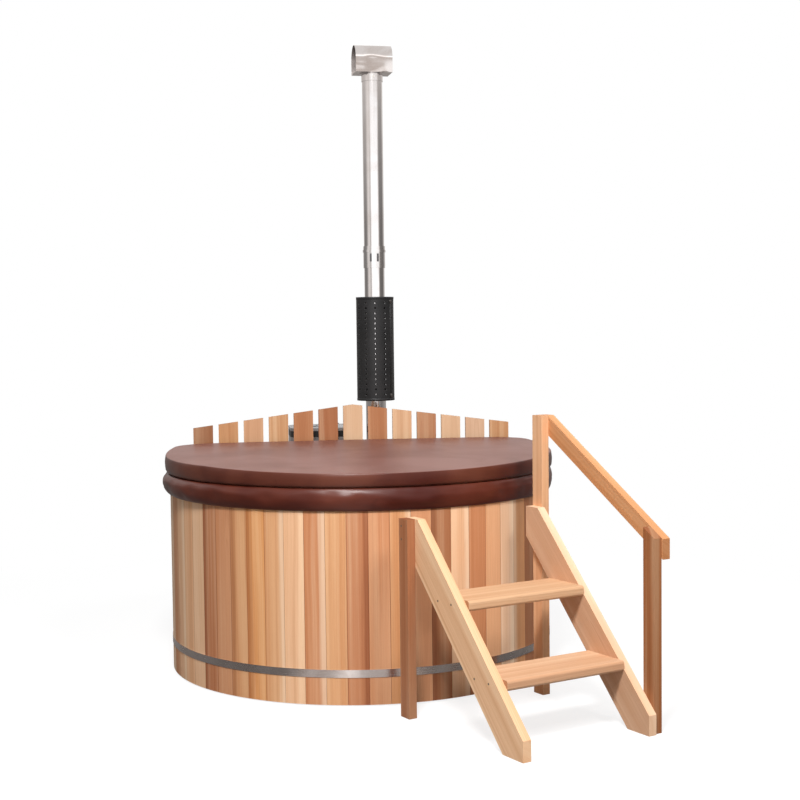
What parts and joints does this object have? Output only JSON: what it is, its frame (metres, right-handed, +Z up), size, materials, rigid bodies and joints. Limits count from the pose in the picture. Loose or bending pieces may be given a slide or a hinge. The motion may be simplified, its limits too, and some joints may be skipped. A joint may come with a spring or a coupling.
{
  "type": "wooden hot tub",
  "caption": "Round stave tub with a padded half-open cover, slatted fence, submerged wood stove, tall chimney with cap, and free-standing steps with a handrail.",
  "frame": {"origin": "centre of the round tub, on the ground", "axes": "+Z up; -Y from the stove towards the bathers' front of the tub; the fence lies along X, and the steps stand at the front right"},
  "size_m": [2.0109, 2.7199, 3.083],
  "materials": {
    "wall_wood": "smooth staves of softwood, each of its own colour",
    "inner_wood": "smooth softwood boards",
    "frame_wood": "planed softwood",
    "fence_wood": "smooth softwood slats",
    "steps_wood": "pale planed softwood",
    "post_wood": "reddish planed softwood",
    "hoop_steel": "stainless band, slightly dull",
    "fastener_steel": "stainless",
    "cover_top": "coated cloth over foam, soft sheen",
    "cover_side": "coated cloth, soft sheen",
    "stove_metal": "cast",
    "iron": "rough",
    "black_metal": "matt black",
    "pipe_steel": "polished stainless",
    "guard_black": "matt black sheet with small holes all over",
    "drain_plastic": "plain",
    "valve_metal": "plated",
    "lever_red": "enamel"
  },
  "bodies": {
    "tub": {"staves_front": "wall_wood", "staves_right": "wall_wood", "staves_back": "wall_wood", "staves_left": "wall_wood", "floor_boards": "inner_wood", "drain_board": "inner_wood", "chime_joists": "frame_wood", "hoop_lower": "hoop_steel", "hoop_upper": "hoop_steel", "hoop_lugs": "hoop_steel", "hoop_bolts": "fastener_steel", "bench_seats": "inner_wood", "bench_legs": "inner_wood", "fence_slats": "fence_wood", "fence_rails": "frame_wood", "fence_cleats": "frame_wood", "fence_screws": "fastener_steel", "stove_body": "stove_metal", "stove_neck": "stove_metal", "stove_feet": "stove_metal", "stove_anchors": "fastener_steel", "stove_grate": "iron", "stove_baffle": "stove_metal", "lid_seat": "black_metal", "lid_hinge_pin": "fastener_steel", "flue_collar": "stove_metal", "pipe_lower": "pipe_steel", "pipe_joint": "pipe_steel", "pipe_upper": "pipe_steel", "heat_guard": "guard_black", "guard_brackets": "black_metal", "cap_barrel": "pipe_steel", "cap_collar": "pipe_steel", "cap_rivets": "fastener_steel", "drain_flange": "drain_plastic", "drain_pipe": "drain_plastic", "drain_valve": "valve_metal", "stringer_left": "steps_wood", "stringer_right": "steps_wood", "tread_lower": "steps_wood", "tread_upper": "steps_wood", "post_left": "post_wood", "post_tall": "post_wood", "post_front": "post_wood", "handrail": "steps_wood", "step_screws": "fastener_steel", "rail_screws": "fastener_steel"},
    "cover": {"cover_lid": "cover_top", "cover_skirt": "cover_side"},
    "stove_lid": {"loading_lid": "stove_metal", "lid_handle": "black_metal", "damper_pin": "fastener_steel"},
    "damper": {"air_damper": "stove_metal"},
    "valve_lever": {"drain_lever": "lever_red", "valve_ball": "valve_metal"}
  },
  "joints": [
    {"name": "cover_lift", "type": "slide", "parent": "tub", "child": "cover", "axis": [0, 0, 1], "range_m": [0, 0.45]},
    {"name": "loading_lid_hinge", "type": "hinge", "parent": "tub", "child": "stove_lid", "pos_m": [-0.1465, 0.784, 1.0868], "axis": [-1, 0, 0], "range_deg": [0, 100]},
    {"name": "air_damper_turn", "type": "hinge", "parent": "stove_lid", "child": "damper", "pos_m": [-0.1465, 0.62, 1.0966], "axis": [0, 0, 1], "range_deg": [0, 60]},
    {"name": "drain_valve_turn", "type": "hinge", "parent": "tub", "child": "valve_lever", "pos_m": [-0.45157, 0.84659, 0.082], "axis": [0, 0, -1], "range_deg": [0, 90]}
  ]
}
